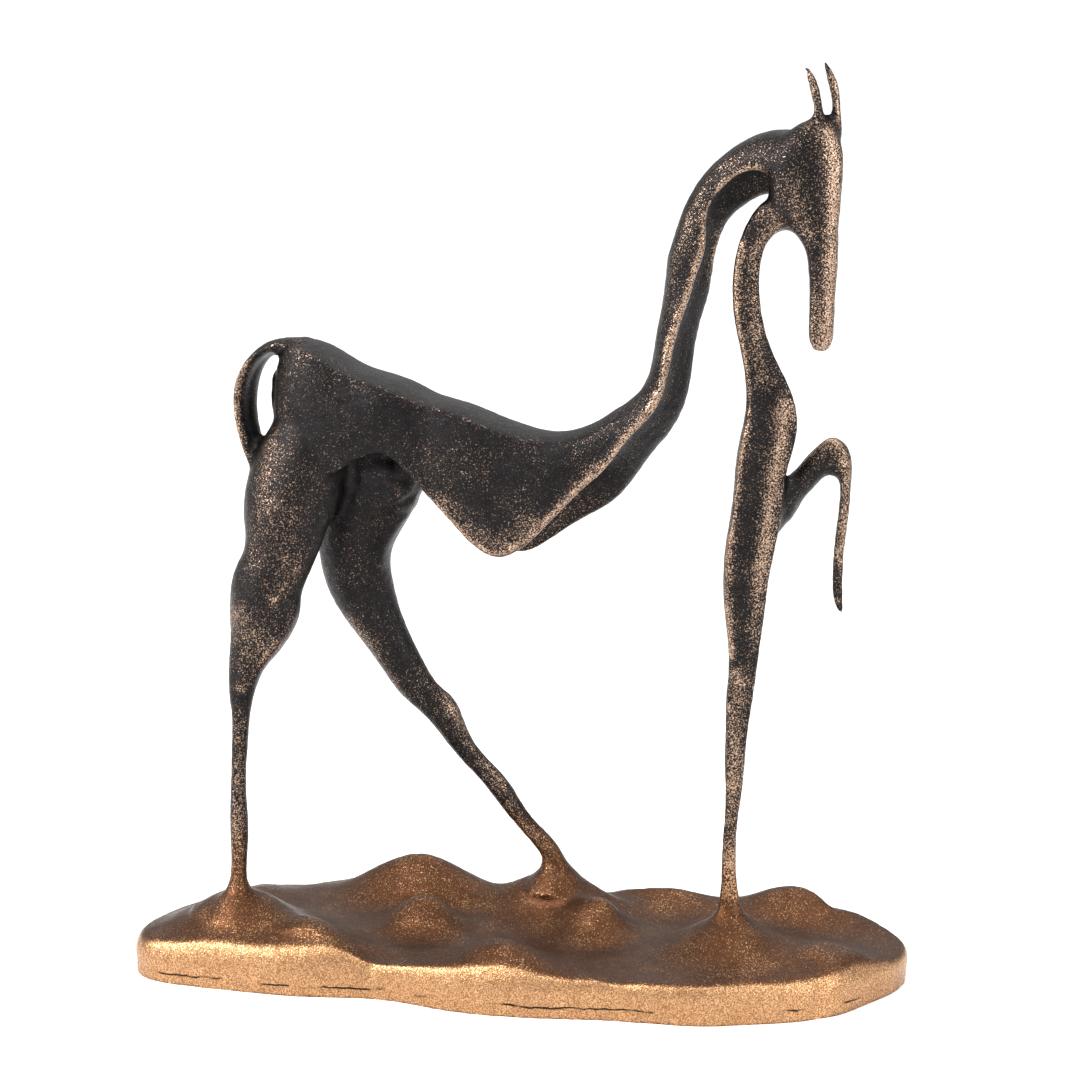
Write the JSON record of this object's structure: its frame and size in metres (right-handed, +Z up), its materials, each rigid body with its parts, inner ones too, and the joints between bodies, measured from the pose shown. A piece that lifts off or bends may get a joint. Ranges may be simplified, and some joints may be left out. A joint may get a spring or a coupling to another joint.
{
  "type": "bronze statuette",
  "caption": "Dark-patinated bronze statuette of a slender horned animal with a hollow arched body, standing on a base of low dunes.",
  "frame": {"origin": "middle of the base's footprint, on the flat underside that it stands on", "axes": "+Z up, +X the way the animal faces, +Y the animal's left"},
  "size_m": [0.2599, 0.0971, 0.3123],
  "materials": {
    "figure_bronze": "dark brown patina rubbed back to bronze on the ridges",
    "base_bronze": "warm brown patina rubbed to golden bronze at the side",
    "fixings": "plain turned steel"
  },
  "bodies": {
    "root": {"base_relief": "base_bronze", "base_plate": "base_bronze", "base_screws": "fixings", "foot_studs": "fixings", "foot_washers": "fixings", "foot_nuts": "fixings", "register_dowels": "fixings", "right_hind_leg": "figure_bronze", "left_hind_leg": "figure_bronze", "torso_shell": "figure_bronze", "neck_shell": "figure_bronze", "head": "figure_bronze", "right_ear": "figure_bronze", "left_ear": "figure_bronze", "right_foreleg": "figure_bronze", "left_foreleg": "figure_bronze", "tail": "figure_bronze"}
  },
  "joints": []
}
